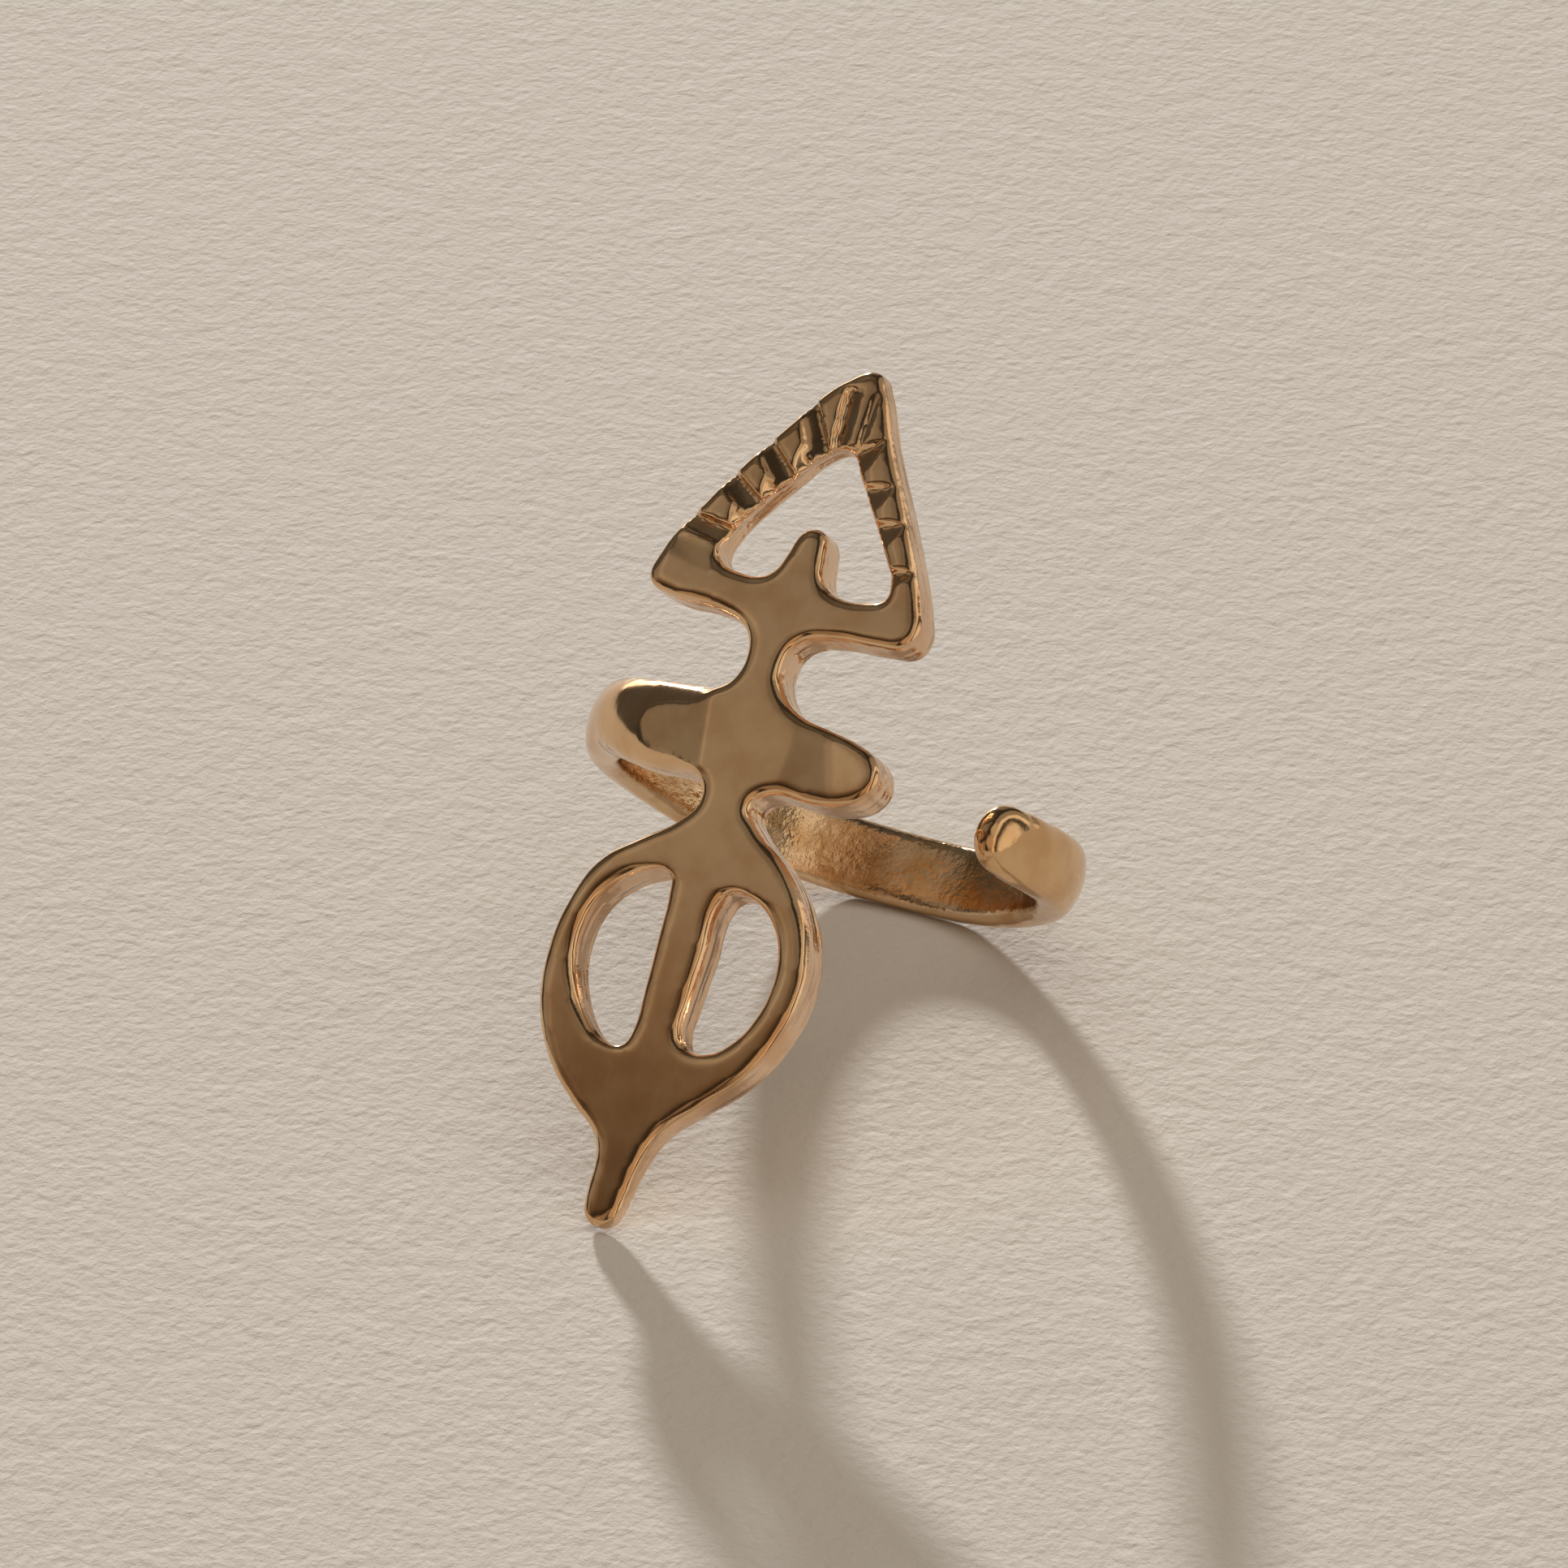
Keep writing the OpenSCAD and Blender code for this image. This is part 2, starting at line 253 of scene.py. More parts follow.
# %% [markdown]
# ## The band
#
# The band is a D-shaped section carried round the finger, so it is spun about the finger's
# axis. A curve with a bevel object could do it too, but a spin keeps the finger hole exactly
# round. BORE is the hole's radius and CROWN the outside's, LOOP is the axis' place, and
# FIRST and LAST are the degrees where the band begins and ends.

# %% Spin the band's section round the finger
BORE = 8.75
CROWN = 10.25
DOME = 0.42
LOOP = Vector((-0.5, 0.4, -10.85))
WIDE, NARROW = 3.6, 2.9
FIRST, LAST = 5, 298
SPIN_STEPS = 240
# each point: its share of half the width, and its distance from the finger's axis
SECTION = [
    (-0.84, BORE), (-0.96, BORE + 0.10), (-1, BORE + 0.35), (-1, CROWN - DOME - 0.12),
    (-0.9, CROWN - 0.33), (-0.72, CROWN - 0.19), (-0.5, CROWN - 0.09), (-0.25, CROWN - 0.02),
    (0, CROWN), (0.25, CROWN - 0.02), (0.5, CROWN - 0.09), (0.72, CROWN - 0.19),
    (0.9, CROWN - 0.33), (1, CROWN - DOME - 0.12), (1, BORE + 0.35), (0.96, BORE + 0.10),
    (0.84, BORE),
]

band = bmesh.new()
start = math.radians(FIRST)
section = [
    band.verts.new(LOOP + Vector((-r * math.sin(start), w * WIDE / 2, r * math.cos(start))))
    for w, r in SECTION
]
cap = band.faces.new(section)
bmesh.ops.spin(
    band,
    geom=[cap],
    cent=LOOP,
    axis=(0, 1, 0),
    angle=-math.radians(LAST - FIRST),
    steps=SPIN_STEPS,
)
bmesh.ops.holes_fill(band, edges=[e for e in band.edges if e.is_boundary], sides=len(SECTION))
print("spun band:", len(band.faces), "faces,", open_edges(band), "open edges")

# %% [markdown]
# ### Its shape along the turn
#
# The band stands proud where it leaves the figure, sways up at both sides, narrows towards
# its free end and ends rounded. At the back, where the ring stands, it is worn straight.
# Those are changes of radius, height and width at an angle round the finger, so they are
# made on the spun vertices. The angle is 0 under the figure's middle and grows to the left.

# %% Where the band changes, in degrees round the finger
# each change: its size in mm (a share for SLIM), where it grows, and where it fades
PROUD = (
    (0.77, (-10, 0), (24, 88)),
    (0.45, (-10, 0), (4, 15)),
    (0.20, (205, 235), (250, 275)),
)
RAISED = (
    (0.42, (20, 50), (90, 150)),
    (0.22, (205, 235), (255, 285)),
)
SLIM = ((0.11, (20, 50), (90, 150)),)
TAPER_FROM = 30
# the worn flat at the back, and how deep it is in mm
WORN_FROM, WORN_TO, WEAR = 150, 210, 0.36


def swell(a, changes):
    """The sum of changes at a degrees. Each has a size, angles where it grows and fades."""
    return sum(size * ease(a, *grows) * (1 - ease(a, *fades)) for size, grows, fades in changes)


def crown_at(a):
    """The crown's radius at a degrees round the finger."""
    proud = CROWN + swell(a, PROUD)
    if not WORN_FROM < a < WORN_TO:
        return proud
    return min(proud, (CROWN - WEAR) / math.cos(math.radians(a - 180)))


print("crown at the figure, left, back:", [round(crown_at(a), 2) for a in (5, 60, 180)])

# %% How the free end is rounded
# over the last TIP mm the crown comes in by TIP_DROP, more and more steeply with TIP_ONSET,
# and the whole end lifts off the finger by the share TIP_LIFT of that
TIP, TIP_DROP, TIP_LIFT, TIP_ONSET = 2.3, 1.15, 0.12, 1.4
# below 1, so that the very end keeps a small face
TIP_BLUNT = 0.97
# half the end face's width in mm, squared
LEAST_SQUARE = 0.04


def drop_at(left):
    """How far the crown comes in, with left millimetres to go to the free end."""
    tip = (1 - min(1, left / TIP)) ** TIP_ONSET
    return TIP_DROP * (1 - math.sqrt(1 - TIP_BLUNT * tip * tip))


def width_at(a, left):
    """The width at a degrees: tapered, then a half circle at the free end."""
    width = WIDE + (NARROW - WIDE) * max(0, a - TAPER_FROM) / (LAST - TAPER_FROM)
    half = width / 2
    if left > half:
        return width
    return 2 * math.sqrt(max(LEAST_SQUARE, half**2 - (half - left) ** 2))


print("the end's last 0, 1, 2 mm come in by", [round(drop_at(x), 2) for x in (0, 1, 2)], "mm")

# %% Shape the band along the turn
for vert in band.verts:
    out = vert.co - LOOP
    a = math.degrees(math.atan2(-out.x, out.z)) % 360
    r = math.hypot(out.x, out.z)
    left = math.radians(max(0, LAST - a)) * CROWN
    share = (r - BORE) / (CROWN - BORE)
    new = r + share * (crown_at(a) - CROWN) + (TIP_LIFT - share) * drop_at(left)
    vert.co.x = LOOP.x + out.x * new / r
    vert.co.z = LOOP.z + out.z * new / r
    slimmer = (1 - swell(a, SLIM)) * width_at(a, left) / WIDE
    vert.co.y = LOOP.y + swell(a, RAISED) + out.y * slimmer
bmesh.ops.recalc_face_normals(band, faces=band.faces)
print("band narrows from", WIDE, "to", NARROW, "mm")

# %% [markdown]
# ## One casting
#
# Plate and band are one pour of metal and flow into each other. A Boolean would leave a
# sharp seam, so a voxel remesh joins the two overlapping solids into a single skin of even,
# small faces. A few rounds of smoothing then melt the join and the edges as tumbling and
# polishing do, with more on the band, and most on its free end.

# %% Objects, modifiers and smoothing
VOXEL = 0.115
EVEN_SKIN = [{"mode": "VOXEL", "voxel_size": VOXEL}]


def as_object(bm, name):
    """A new object with the bmesh as its mesh. The bmesh is freed."""
    mesh = bpy.data.meshes.new(name)
    bm.to_mesh(mesh)
    bm.free()
    made = bpy.data.objects.new(name, mesh)
    bpy.context.scene.collection.objects.link(made)
    return made


def as_bmesh(made, kind, changes):
    """The object's mesh after modifiers of one kind, as a bmesh. The object is removed."""
    for settings in changes:
        step = made.modifiers.new(kind, kind)
        for key, value in settings.items():
            setattr(step, key, value)
    seen = made.evaluated_get(bpy.context.evaluated_depsgraph_get())
    bm = bmesh.new()
    bm.from_mesh(bpy.data.meshes.new_from_object(seen))
    bpy.data.objects.remove(made)
    return bm


def smoothed(bm, rounds, verts=None):
    """Draws vertices towards their neighbours' middle: all of them, or only those given."""
    for _ in range(rounds):
        bmesh.ops.smooth_vert(
            bm,
            verts=verts or bm.verts,
            factor=0.5,
            use_axis_x=True,
            use_axis_y=True,
            use_axis_z=True,
        )


print("skin of", VOXEL, "mm faces")

# %% Join plate and band into one skin
ALL_ROUNDS, BAND_ROUNDS, END_ROUNDS = 3, 25, 30
# the band is all that lies deeper than this, and what lies left of the arm near the middle
BAND_BEHIND = -3
BAND_LEFT, BAND_HALF = -5, 3
# the free end is what lies to the right of this and in front of that
END_RIGHT, END_FRONT = 7, -8.5

shell = bpy.data.meshes.new("band_part")
band.to_mesh(shell)
plate.from_mesh(shell)
band.free()
bpy.data.meshes.remove(shell)
ring = as_bmesh(as_object(plate, "joined"), "REMESH", EVEN_SKIN)
smoothed(ring, ALL_ROUNDS)
on_band = [
    vert
    for vert in ring.verts
    if vert.co.z < BAND_BEHIND or (vert.co.x < BAND_LEFT and abs(vert.co.y) < BAND_HALF)
]
smoothed(ring, BAND_ROUNDS, on_band)
at_end = [vert for vert in ring.verts if vert.co.x > END_RIGHT and vert.co.z > END_FRONT]
smoothed(ring, END_ROUNDS, at_end)
print("joined skin:", len(ring.faces), "faces,", open_edges(ring), "open edges")

# %% [markdown]
# ## The filed flat of the left arm
#
# On the real ring the front was filed flat after casting, and the flat runs out on the
# domed band in a long curved point. The same is done here: every vertex that stands above
# the arm's plane is brought down to it. A Boolean with a big block would do the same, only
# slower.

# %% File the left arm flat
ARM_END, ARM_LOW, ARM_HIGH = -6, -2.2, 2.6
FILE_ROUNDS = 2

filed = 0
for vert in ring.verts:
    u, v, n = vert.co
    plane = -v * v / (2 * BOW_RADIUS) - bend(min(u, 0), v)
    if ARM_END < u < 0 and ARM_LOW < v < ARM_HIGH and n > plane:
        vert.co.z = plane
        filed += 1
smoothed(ring, FILE_ROUNDS)
print("filed", filed, "vertices")

# %% [markdown]
# ## The carved facets of the head
#
# The two legs of the head carry crisp cuts, made with a graver: broad grooves and slopes on
# the left leg, notches under ridges on the right leg, and a pair of cuts at the point. Each
# facet is one flat face of a solid that is taken away, and such a solid is the hull of a
# few points. Sculpting could give these cuts too, but not as crisp or as easy to change.

# %% A cutter from a few points
ABOVE = 0.6


def hull(points):
    """An object that is the hull of a few points, given as depths from the bowed front."""
    bm = bmesh.new()
    verts = [bm.verts.new((u, v, n - v * v / (2 * BOW_RADIUS))) for u, v, n in points]
    extra = bmesh.ops.convex_hull(bm, input=verts)
    inside = set(extra["geom_interior"] + extra["geom_unused"])
    inside = [g for g in inside if isinstance(g, bmesh.types.BMVert)]
    bmesh.ops.delete(bm, geom=inside, context="VERTS")
    bmesh.ops.recalc_face_normals(bm, faces=bm.faces)
    return as_object(bm, "graver_cut")


cuts = []
print("cutters reach", ABOVE, "mm above the front")

# %% [markdown]
# ### The left leg and the point
#
# A groove has a flat floor that tilts along the leg, so it mirrors a darker part of the room
# than the front does. Between two grooves a scoop slopes down to the opening. A wide shallow
# groove marks the leg's foot, and the point of the head has two more, tilted sideways.

# %% Grooves
OVERRUN = 0.5
FLARE = 1.15


def groove(inner, outer, wide, narrow, low, high):
    """A flat-floored groove from the opening to the rim; low and high are its sides' depths."""
    inner, outer = Vector(inner), Vector(outer)
    along = (outer - inner).normalized()
    down = Vector((-along.y, along.x))
    points = []
    for end, width in ((inner - along * OVERRUN, wide), (outer + along * OVERRUN, narrow)):
        for side, deep in ((0.5, low), (-0.5, high)):
            p = end + down * side * width
            q = end + down * side * width * FLARE
            points += [(p.x, p.y, -deep), (q.x, q.y, ABOVE)]
    return hull(points)


LEFT_CUTS = [
    ((-3.75, 8.15), (-5.45, 8.45)),
    ((-3.00, 9.45), (-4.50, 10.45)),
    ((-2.15, 10.85), (-3.50, 12.05)),
    ((-1.25, 12.25), (-2.25, 13.85)),
]
# width at the opening and at the rim, depth of the lower and the upper side
LEFT_SIZES = 0.90, 0.80, 0.18, 0.48
cuts += [groove(inner, outer, *LEFT_SIZES) for inner, outer in LEFT_CUTS]
print("grooves across the left leg:", len(LEFT_CUTS))

# %% Scoops between those grooves
# where each end lies between two grooves, how far it reaches over the leg, and its depth
SCOOP_ENDS = ((0.26, 0.22, 0.36), (0.74, 0.58, 0.72))
PAST_RIM = 0.25


def scoop(low_in, low_out, high_in, high_out):
    """A slope from the leg's front down to the opening, wider at its upper end."""
    low_in, low_out, high_in, high_out = map(Vector, (low_in, low_out, high_in, high_out))
    points = []
    for along, reach, deep in SCOOP_ENDS:
        rim, outer = low_in.lerp(high_in, along), low_out.lerp(high_out, along)
        crest = rim.lerp(outer, reach)
        foot = rim.lerp(outer, -PAST_RIM)
        points += [(crest.x, crest.y, 0.0), (crest.x, crest.y, ABOVE)]
        points += [(foot.x, foot.y, -deep), (foot.x, foot.y, ABOVE)]
    return hull(points)


cuts += [scoop(*lower, *upper) for lower, upper in zip(LEFT_CUTS, LEFT_CUTS[1:])]
print("cutters so far:", len(cuts))

# %% Grooves at the foot and at the point
# the leg's foot, then the left and the right of the point, each with its own four sizes
for line in (
    ((-4.30, 7.05), (-6.10, 7.35), 1.50, 1.30, -0.02, 0.13),
    ((-0.42, 12.40), (-0.72, 14.80), 0.72, 0.75, 0.34, 0.0),
    ((0.32, 12.70), (0.22, 14.80), 0.38, 0.40, 0.0, 0.15),
):
    cuts.append(groove(*line))
print("cutters so far:", len(cuts))

# %% [markdown]
# ### The right leg
#
# Here each cut drops straight down under a ridge that runs across the leg, and comes up to
# the front again in a triangle. Three points say where: the ridge's two ends and the foot.

# %% Notches
NOTCH_DEEP, RIDGE_DEEP, FOOT_DEEP = 0.50, 0.10, 0.02
PAST_FOOT = 1.15


def notch(ridge_in, ridge_out, foot):
    """A facet that drops under a ridge and comes up to the front again at its foot."""
    ridge_in, ridge_out, foot = Vector(ridge_in), Vector(ridge_out), Vector(foot)
    inward = (ridge_in - ridge_out).normalized() * OVERRUN
    foot = ridge_in.lerp(foot, PAST_FOOT)
    corners = (ridge_in + inward, NOTCH_DEEP), (ridge_out, RIDGE_DEEP), (foot + inward, FOOT_DEEP)
    points = []
    for p, deep in corners:
        points += [(p.x, p.y, -deep), (p.x, p.y, ABOVE)]
    return hull(points)


for ridge_in, ridge_out, foot in (
    ((0.32, 12.93), (1.34, 13.55), (1.07, 11.72)),
    ((1.24, 11.48), (2.47, 11.84), (2.07, 10.27)),
    ((2.29, 10.15), (3.52, 10.43), (3.11, 9.12)),
    ((3.59, 8.43), (4.83, 8.65), (3.89, 7.63)),
):
    cuts.append(notch(ridge_in, ridge_out, foot))
print("cutters:", len(cuts))

# %% [markdown]
# ### Cutting
#
# Every cutter is one Boolean modifier on the same object. A second remesh brings the faces
# back to an even size, because the long thin triangles that a Boolean leaves would show in
# a mirror finish.

# %% Cut the facets
LAST_ROUNDS = 1

taken = [{"operation": "DIFFERENCE", "object": cut, "solver": "MANIFOLD"} for cut in cuts]
ring = as_bmesh(as_object(ring, "uncut"), "BOOLEAN", taken)
for cut in cuts:
    bpy.data.objects.remove(cut)
print("cut ring:", len(ring.faces), "faces,", open_edges(ring), "open edges")
ring = as_bmesh(as_object(ring, "carved"), "REMESH", EVEN_SKIN)
smoothed(ring, LAST_ROUNDS)
print("carved ring:", len(ring.faces), "faces,", open_edges(ring), "open edges")

# %% [markdown]
# ## Into the frame
#
# The finished mesh is moved from the drawing to its place in the frame, so its object stays
# at the origin. It stands for the imported ring and rides on the same body. It stands on
# the floor with its tail and the back of its band.

# %% Place the ring in the frame
ring.transform(PLACE)
casting = as_object(ring, "ring_casting")
casting.data.shade_smooth()
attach(casting, "root")
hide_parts("ring")
print("triangles:", sum(len(p.vertices) - 2 for p in casting.data.polygons))

# %% [markdown]
# ## Cast and polished bronze
#
# The metal is a gold-coloured bronze, cast in a mould, filed on the front and polished by
# hand. The front is nearly a mirror, while the walls and the inside of the band keep the
# soft, uneven skin of the casting. Two materials on separate faces would meet in a hard
# line, so one material holds both finishes and masks blend them. The masks come from the
# surface's own place and direction, and the patterns' sizes from real millimetres.

# %% Helpers for materials


def linear(code):
    """An sRGB hex colour as linear red, green, blue and alpha."""
    parts = [int(code[k : k + 2], 16) / 255 for k in (1, 3, 5)]
    return (*(p / 12.92 if p <= 0.04045 else ((p + 0.055) / 1.055) ** 2.4 for p in parts), 1)


def add(tree, kind, links=None, values=None, **settings):
    """Adds a node with its settings, values on its own sockets, and links into it."""
    node = tree.nodes.new(kind)
    for key, value in settings.items():
        setattr(node, key, value)
    for socket, value in (values or {}).items():
        node.inputs[socket].default_value = value
    for socket, source in (links or {}).items():
        tree.links.new(source, node.inputs[socket])
    return node


print("light gold in linear light:", [round(x, 2) for x in linear("#E9C59A")])

# %% Start the metal, and find each point's place in the drawing
# The eye sees a warm mirror with slow waves, and duller, dented walls.
metal = bpy.data.materials.new("cast_gold_bronze_polished")
metal.use_nodes = True
casting.data.materials.append(metal)
tree = metal.node_tree
shader = tree.nodes["Principled BSDF"]
shader.inputs["Metallic"].default_value = 1

here = add(tree, "ShaderNodeTexCoord").outputs["Object"]
drawn = add(
    tree, "ShaderNodeMapping", {"Vector": here}, {"Location": [-MM * x for x in SHIFT]}
).outputs["Vector"]
drawn = add(
    tree,
    "ShaderNodeVectorRotate",
    {"Vector": drawn},
    {"Angle": -LEAN},
    rotation_type="X_AXIS",
).outputs["Vector"]
print("metal starts with", len(tree.nodes), "nodes")

# %% [markdown]
# ### Where the casting's skin is left
#
# The inside of the band is wherever the metal is nearer to the finger's axis than about
# 9 mm. The walls are the faces that look sideways in the drawing, down to the plate's back.
# Both are simple measures, so no painting or vertex groups are needed.

# %% Masks of the inside and the walls
spoke = add(
    tree,
    "ShaderNodeVectorMath",
    {0: drawn},
    {1: [MM * x for x in LOOP]},
    operation="SUBTRACT",
).outputs["Vector"]
spoke = add(
    tree, "ShaderNodeVectorMath", {0: spoke}, {1: (1, 0, 1)}, operation="MULTIPLY"
).outputs["Vector"]
reach = add(tree, "ShaderNodeVectorMath", {0: spoke}, operation="LENGTH").outputs["Value"]

normal = add(tree, "ShaderNodeNewGeometry").outputs["Normal"]
facing = add(
    tree,
    "ShaderNodeVectorMath",
    {0: normal},
    {1: TURN @ Vector((0, 0, 1))},
    operation="DOT_PRODUCT",
).outputs["Value"]
depth = add(tree, "ShaderNodeSeparateXYZ", {0: drawn}).outputs["Z"]

# mask, what it measures, where it is 0 and where it is 1
mask = {}
for name, measure, none, full in (
    ("inside", reach, 9.10 * MM, 8.85 * MM),
    ("sideways", facing, 0.75, 0.25),
    ("plate", depth, -3.6 * MM, -2.6 * MM),
    ("band", depth, -1.4 * MM, -2.6 * MM),
):
    mask[name] = add(
        tree,
        "ShaderNodeMapRange",
        {"Value": measure},
        {"From Min": none, "From Max": full},
        interpolation_type="SMOOTHSTEP",
    ).outputs["Result"]
for name, first, second, operation in (
    ("wall", "sideways", "plate", "MULTIPLY"),
    ("cast", "wall", "inside", "MAXIMUM"),
):
    mask[name] = add(
        tree, "ShaderNodeMath", {0: mask[first], 1: mask[second]}, operation=operation
    ).outputs["Value"]
print("masks:", sorted(mask))

# %% [markdown]
# ### Patterns and their sizes
#
# Polished metal still shows slow waves of the polisher's hand, about 2 mm long, and fine
# scratches along the figure. Cast skin shows dents of about 1 mm and a grain of a third of
# a millimetre, and the walls have low ridges that run along them at one depth, as trimming
# leaves them. Noise at those sizes gives each one. The real scratches are much finer than a
# pixel, so they are drawn as coarse as they need to be to show.

# %% Noise at real sizes
# name, size in mm, detail, roughness, and less than 1 for an axis that it is drawn out along
PATTERNS = (
    ("clouds", 1.6, 3, 0.5, (1, 1, 1)),
    ("waves", 2.4, 1, 0.5, (1, 1, 1)),
    ("scratches", 0.12, 2, 0.5, (1, 0.08, 1)),
    ("dents", 0.9, 2, 0.5, (1, 1, 1)),
    ("ridges", 0.6, 1, 0.5, (0.15, 0.15, 1)),
    ("grain", 0.35, 3, 0.6, (1, 1, 1)),
)
pattern = {}
for name, size, detail, rough, stretch in PATTERNS:
    place = add(tree, "ShaderNodeVectorMath", {0: drawn}, {1: stretch}, operation="MULTIPLY")
    pattern[name] = add(
        tree,
        "ShaderNodeTexNoise",
        {"Vector": place.outputs["Vector"]},
        {"Scale": 1 / (size * MM), "Detail": detail, "Roughness": rough},
    ).outputs["Fac"]
print("patterns in mm:", {name: size for name, size, *_ in PATTERNS})

# %% [markdown]
# ### Colour
#
# A metal's base colour is the colour of its mirror. This bronze mirrors a pale, reddish
# gold. The band's outside is a little darker, painted shade that dims the floor it mirrors
# there, and the walls are lighter and pinker, a painted sheen for their bright reflections.
# Inside the band it is a little deeper. Light that bounces twice takes the colour twice, so
# these stay paler than the ring looks.

# %% Mix the colours
# mask, light tone, dark tone
COLOURS = (
    (None, "#E9C59A", "#DDB487"),
    # darker: painted shade on the band's outside, dimming the floor it mirrors
    ("band", "#E2BD8E", "#D6AC7C"),
    # lighter and pinker: a painted sheen for the walls' bright reflections
    ("wall", "#F0D2B4", "#E3BC98"),
    ("inside", "#E6C8A2", "#D0A878"),
)
cloudy = add(
    tree,
    "ShaderNodeMapRange",
    {"Value": pattern["clouds"]},
    {"From Min": 0.35, "From Max": 0.70},
    interpolation_type="SMOOTHSTEP",
).outputs["Result"]
for where, light_tone, dark_tone in COLOURS:
    tone = add(
        tree,
        "ShaderNodeMix",
        {0: cloudy},
        {6: linear(light_tone), 7: linear(dark_tone)},
        data_type="RGBA",
    ).outputs[2]
    if where:
        tone = add(
            tree, "ShaderNodeMix", {0: mask[where], 6: colour, 7: tone}, data_type="RGBA"
        ).outputs[2]
    colour = tone
tree.links.new(colour, shader.inputs["Base Color"])
print("colours:", [light_tone for _, light_tone, _ in COLOURS])

# %% [markdown]
# ### Gloss and relief
#
# Hand polish leaves a roughness near 0.1, and the cast skin up to 0.25. The relief is given
# to the Bump node in metres, so each pattern is simply multiplied by its real height in
# millimetres. A bump is enough here, because none of it is deep enough to change an edge.

# %% Roughness
# pattern, its low and high value, and the roughness there
GLOSS = (("scratches", 0.3, 0.8, 0.09, 0.15), ("dents", 0.3, 0.7, 0.09, 0.25))
polished, skin = (
    add(
        tree,
        "ShaderNodeMapRange",
        {"Value": pattern[name]},
        {"From Min": low, "From Max": high, "To Min": smooth, "To Max": rough},
    ).outputs["Result"]
    for name, low, high, smooth, rough in GLOSS
)
gloss = add(tree, "ShaderNodeMix", {"Factor": mask["cast"], "A": polished, "B": skin})
tree.links.new(gloss.outputs["Result"], shader.inputs["Roughness"])
print("roughness from", GLOSS[0][3], "to", GLOSS[1][4])

# %% Relief
# pattern, height in mm, mask
RELIEF = (
    ("waves", 0.012, None),
    ("scratches", 0.0005, None),
    ("dents", 0.05, "wall"),
    ("ridges", 0.24, "wall"),
    ("dents", 0.03, "band"),
    ("grain", 0.006, "band"),
    ("grain", 0.03, "cast"),
)
below = {}
for name, high, where in RELIEF:
    part = add(tree, "ShaderNodeMath", {0: pattern[name]}, {1: high * MM}, operation="MULTIPLY")
    if where:
        part = add(
            tree, "ShaderNodeMath", {0: part.outputs[0], 1: mask[where]}, operation="MULTIPLY"
        )
    total = add(tree, "ShaderNodeMath", {0: part.outputs[0], **below}, {1: 0}, operation="ADD")
    below = {1: total.outputs[0]}
bump = add(tree, "ShaderNodeBump", {"Height": total.outputs[0]}, {"Strength": 1, "Distance": 1})
tree.links.new(bump.outputs["Normal"], shader.inputs["Normal"])
print("metal has", len(tree.nodes), "nodes")

# %% [markdown]
# ## The floor
#
# The ring stands on a sheet of thick, warm grey paper. Paper scatters light evenly, so it is
# rough and not metallic, and its soft grain shows where the low light rakes across it. The
# sheet is far larger than the picture, because the polished ring mirrors it up to its edge.

# %% Paper floor
FLOOR_HALF = 2

sheet = bmesh.new()
bmesh.ops.create_grid(sheet, x_segments=1, y_segments=1, size=FLOOR_HALF)
floor = as_object(sheet, "paper_floor")
print("floor is", floor.dimensions[0], "m wide")

# %% Warm grey paper
# The eye sees soft, even light with a fine tooth. Its grain: size and height in mm, detail
PAPER_GRAIN = ((0.5, 0.10, 4), (1.5, 0.10, 2))

paper = bpy.data.materials.new("warm_grey_paper")
paper.use_nodes = True
floor.data.materials.append(paper)
tree = paper.node_tree
shader = tree.nodes["Principled BSDF"]
shader.inputs["Base Color"].default_value = linear("#C1BDB7")
shader.inputs["Roughness"].default_value = 0.9
here = add(tree, "ShaderNodeTexCoord").outputs["Object"]
below = {}
for size, high, detail in PAPER_GRAIN:
    noise = add(
        tree,
        "ShaderNodeTexNoise",
        {"Vector": here},
        {"Scale": 1 / (size * MM), "Detail": detail, "Roughness": 0.6},
    )
    part = add(
        tree, "ShaderNodeMath", {0: noise.outputs["Fac"]}, {1: high * MM}, operation="MULTIPLY"
    )
    total = add(tree, "ShaderNodeMath", {0: part.outputs[0], **below}, {1: 0}, operation="ADD")
    below = {1: total.outputs[0]}
bump = add(tree, "ShaderNodeBump", {"Height": total.outputs[0]}, {"Strength": 1, "Distance": 1})
tree.links.new(bump.outputs["Normal"], shader.inputs["Normal"])
print("paper has", len(tree.nodes), "nodes")

# %% [markdown]
# ## The room that the metal mirrors
#
# Polished metal has no look of its own: it shows the room. So the room is drawn with care,
# as soft bright cards and dark gaps all round. Along X and Y, colour ramps say how bright
# the room is in that direction, and each stop is a direction from -1 to 1 and a brightness.
# The middle columns are what the flat front mirrors, and the thin dark gaps beside them draw
# the dark line along every edge. Real cards would have to be placed and hidden one by one.

# %% Ramps of the room
scene = bpy.context.scene
scene.view_settings.view_transform = "Standard"

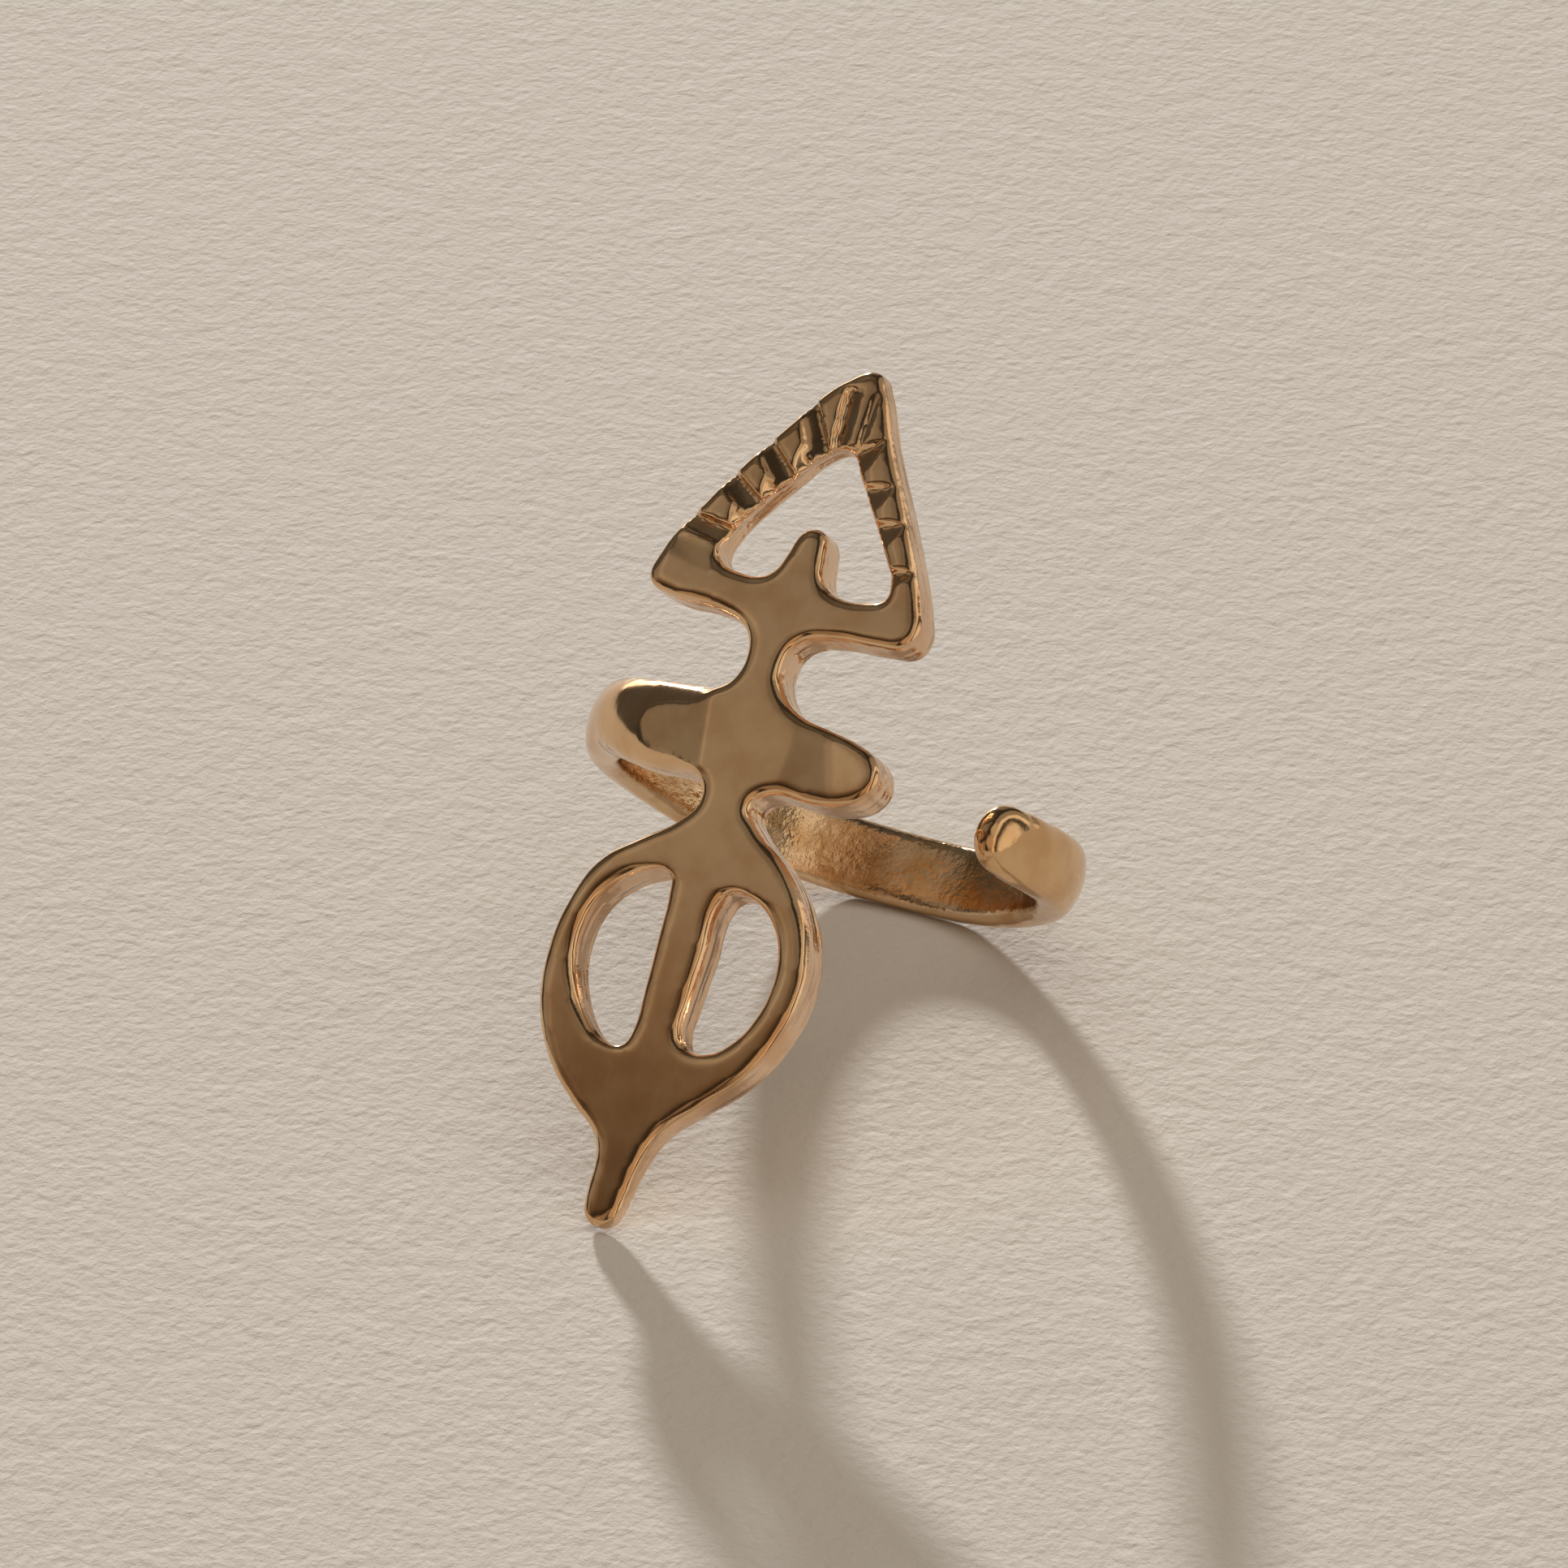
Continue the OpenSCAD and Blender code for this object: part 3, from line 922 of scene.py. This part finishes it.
room = bpy.data.worlds.new("studio_room")
scene.world = room
room.use_nodes = True
sky = room.node_tree
way = add(sky, "ShaderNodeTexCoord").outputs["Generated"]
parts = add(sky, "ShaderNodeSeparateXYZ", {0: way})
ROOM = (
    ("columns", "X", (
        (-1, 0), (-0.91, 0), (-0.86, 0.88), (-0.72, 0.88), (-0.59, 1.0), (-0.55, 1.3),
        (-0.49, 1.35), (-0.46, 1.0), (-0.37, 1.0), (-0.32, 0.75), (-0.14, 0.75), (-0.09, 0),
        (1, 0),
    )),
    ("rows", "Y", (
        (-1, 0.40), (-0.87, 0.42), (-0.83, 0.03), (-0.77, 0.03), (-0.72, 0.13), (-0.67, 0.17),
        (-0.62, 0.27), (-0.56, 0.33), (-0.49, 0.33), (-0.44, 0.285), (-0.30, 0.28),
        (-0.24, 0.21), (-0.22, 0.06), (-0.18, 0.06), (-0.14, 0.14), (0.25, 0.12),
        (0.32, 0.06), (0.60, 0.06), (0.70, 0.25), (1, 0.30),
    )),
    ("sides", "X", (
        (-1, 0.05), (-0.15, 0.04), (0.11, 0.04), (0.17, 0.30), (0.48, 0.34), (0.54, 0.95),
        (0.64, 1.0), (0.70, 0.08), (0.78, 0.10), (0.88, 0.85), (1, 0.95),
    )),
)
ramps = {}
for name, axis, stops in ROOM:
    place = add(
        sky, "ShaderNodeMath", {0: parts.outputs[axis]}, {1: 0.5, 2: 0.5}, operation="MULTIPLY_ADD"
    )
    ramp = add(sky, "ShaderNodeValToRGB", {"Fac": place.outputs["Value"]})
    elements = ramp.color_ramp.elements
    for step, (_, value) in ((elements[0], stops[0]), (elements[1], stops[-1])):
        step.color = (value, value, value, 1)
    for spot, value in stops[1:-1]:
        elements.new((spot + 1) / 2).color = (value, value, value, 1)
    ramps[name] = ramp.outputs["Color"]
light = add(
    sky, "ShaderNodeMath", {0: ramps["columns"], 1: ramps["rows"]}, operation="MULTIPLY"
).outputs["Value"]
light = add(
    sky, "ShaderNodeMath", {0: light, 1: ramps["sides"]}, operation="MAXIMUM"
).outputs["Value"]
print("room has", len(ramps), "ramps")

# %% [markdown]
# ### Single things in the room
#
# A dark flag on the left gives the dark patch on the shoulder, and a window glow next to it
# the bright rim. Two cards low on the right light the band. Towards the front the room grows
# redder, which the tail mirrors. They are discs with soft edges, because a lamp's or card's
# exact outline is lost in the metal's waves anyway.

# %% Round cards in the room
# its middle, the degrees where it has faded out and where it is full, its brightness
PANELS = (
    ((-0.90, 0.38, 0.25), 35, 28, 0.08),
    ((0.27, -0.82, 0.50), 22, 14, 0.52),
    ((0.34, -0.43, 0.84), 16, 9, 0.60),
    ((-0.70, 0.70, 0.02), 15, 9, 2.4),
)
for middle, outside, inside, value in PANELS:
    facing = add(
        sky,
        "ShaderNodeVectorMath",
        {0: way},
        {1: Vector(middle).normalized()},
        operation="DOT_PRODUCT",
    )
    share = add(
        sky,
        "ShaderNodeMapRange",
        {"Value": facing.outputs["Value"]},
        {
            "From Min": math.cos(math.radians(outside)),
            "From Max": math.cos(math.radians(inside)),
        },
        interpolation_type="SMOOTHSTEP",
    ).outputs["Result"]
    light = add(
        sky, "ShaderNodeMix", {"Factor": share, "A": light}, {"B": value}
    ).outputs["Result"]
sky.links.new(light, sky.nodes["Background"].inputs["Strength"])
print("room has", len(PANELS), "round cards")

# %% A redder front of the room
lower = add(
    sky,
    "ShaderNodeMapRange",
    {"Value": parts.outputs["Y"]},
    {"From Min": -0.56, "From Max": -0.68},
    interpolation_type="SMOOTHSTEP",
).outputs["Result"]
warmth = add(
    sky,
    "ShaderNodeMix",
    {0: lower},
    {6: linear("#FFF1DF"), 7: linear("#FFDDBC")},
    data_type="RGBA",
).outputs[2]
sky.links.new(warmth, sky.nodes["Background"].inputs["Color"])
print("room has", len(sky.nodes), "nodes")

# %% [markdown]
# ## Light on the floor
#
# A low window behind the ring on the left throws the long shadows, and its small angle
# keeps them fairly sharp near the ring and softer far away. A wide soft ceiling light fills
# them. The ceiling is left out of the mirror, where the room above already stands for it.

# %% Window and ceiling
WINDOW_AT = 40, 15
CEILING_HIGH = 1


def toward(azimuth, elevation):
    """Unit vector: azimuth in degrees from +Y towards -X, elevation above the floor."""
    a, e = math.radians(azimuth), math.radians(elevation)
    return Vector((-math.sin(a) * math.cos(e), math.cos(a) * math.cos(e), math.sin(e)))


sun = bpy.data.lights.new("low_window", "SUN")
sun.energy = 4.2
sun.angle = math.radians(4.5)
sun.color = linear("#FFFDFA")[:3]
window = bpy.data.objects.new("low_window", sun)
scene.collection.objects.link(window)
window.rotation_mode = "QUATERNION"
window.rotation_quaternion = toward(*WINDOW_AT).to_track_quat("Z", "Y")

fill = bpy.data.lights.new("soft_ceiling", "AREA")
fill.energy = 5
fill.size = 1.2
fill.color = linear("#FFF1E2")[:3]
ceiling = bpy.data.objects.new("soft_ceiling", fill)
scene.collection.objects.link(ceiling)
ceiling.location = (0, 0, CEILING_HIGH)
ceiling.visible_glossy = False

# %% [markdown]
# ## The camera
#
# The camera looks at the figure's front from the right and a little below, and is rolled, so
# that the figure leans in the picture. Its place is worked out in the drawing, where those
# angles are simple, and carried to the frame with the ring's own matrix. A long lens from
# 400 mm away keeps the perspective as flat as in a close product picture.

# %% Aim the camera
VIEW_SIDE = math.radians(25.5)
VIEW_UP = math.radians(9.3)
ROLL = math.radians(18.5)
DISTANCE = 400
IMAGE = 1932
PIXELS_PER_MM = 31.5
ORIGIN_AT = (915, 922)

back = Vector((
    math.cos(VIEW_UP) * math.sin(VIEW_SIDE),
    -math.sin(VIEW_UP),
    math.cos(VIEW_UP) * math.cos(VIEW_SIDE),
))
level = Vector((0, 1, 0)).cross(back).normalized()
across = Matrix.Rotation(ROLL, 3, back) @ level
upward = back.cross(across)
aim = (
    across * (IMAGE / 2 - ORIGIN_AT[0]) + upward * (ORIGIN_AT[1] - IMAGE / 2)
) / PIXELS_PER_MM
eye = aim + back * DISTANCE

lens = bpy.data.cameras.new("camera")
lens.sensor_width = 36
lens.lens = lens.sensor_width * DISTANCE * PIXELS_PER_MM / IMAGE
lens.clip_start, lens.clip_end = 0.01, 10
camera = bpy.data.objects.new("camera", lens)
scene.collection.objects.link(camera)
turned = Matrix((across, upward, back)).transposed().to_4x4()
camera.matrix_world = Matrix.Translation(PLACE @ eye) @ TURN @ turned
scene.camera = camera
print("camera at", [round(x, 3) for x in camera.matrix_world.translation])
